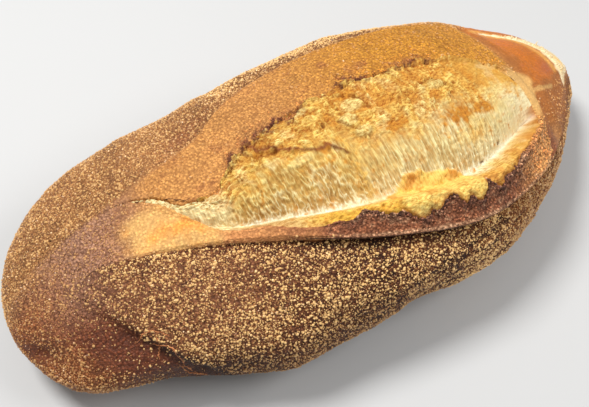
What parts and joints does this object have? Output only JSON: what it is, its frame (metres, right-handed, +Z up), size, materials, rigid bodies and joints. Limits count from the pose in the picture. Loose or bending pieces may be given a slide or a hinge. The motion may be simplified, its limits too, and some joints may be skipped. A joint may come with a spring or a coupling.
{
  "type": "filone bread loaf",
  "caption": "Large oval white bread loaf with one lengthwise slash opened into a pale torn bloom under a raised dark ear, sides coated in coarse cornmeal.",
  "frame": {"origin": "centre of the loaf's box at the level it rests on", "axes": "+X along the loaf towards its knobbed end, +Z up, -Y towards the side below the ear"},
  "size_m": [0.34, 0.1605, 0.0827],
  "materials": {
    "crust": "dry baked golden brown crust, matte to faintly satin, dusted with coarse cornmeal"
  },
  "bodies": {
    "root": {"loaf": "crust"}
  },
  "joints": []
}
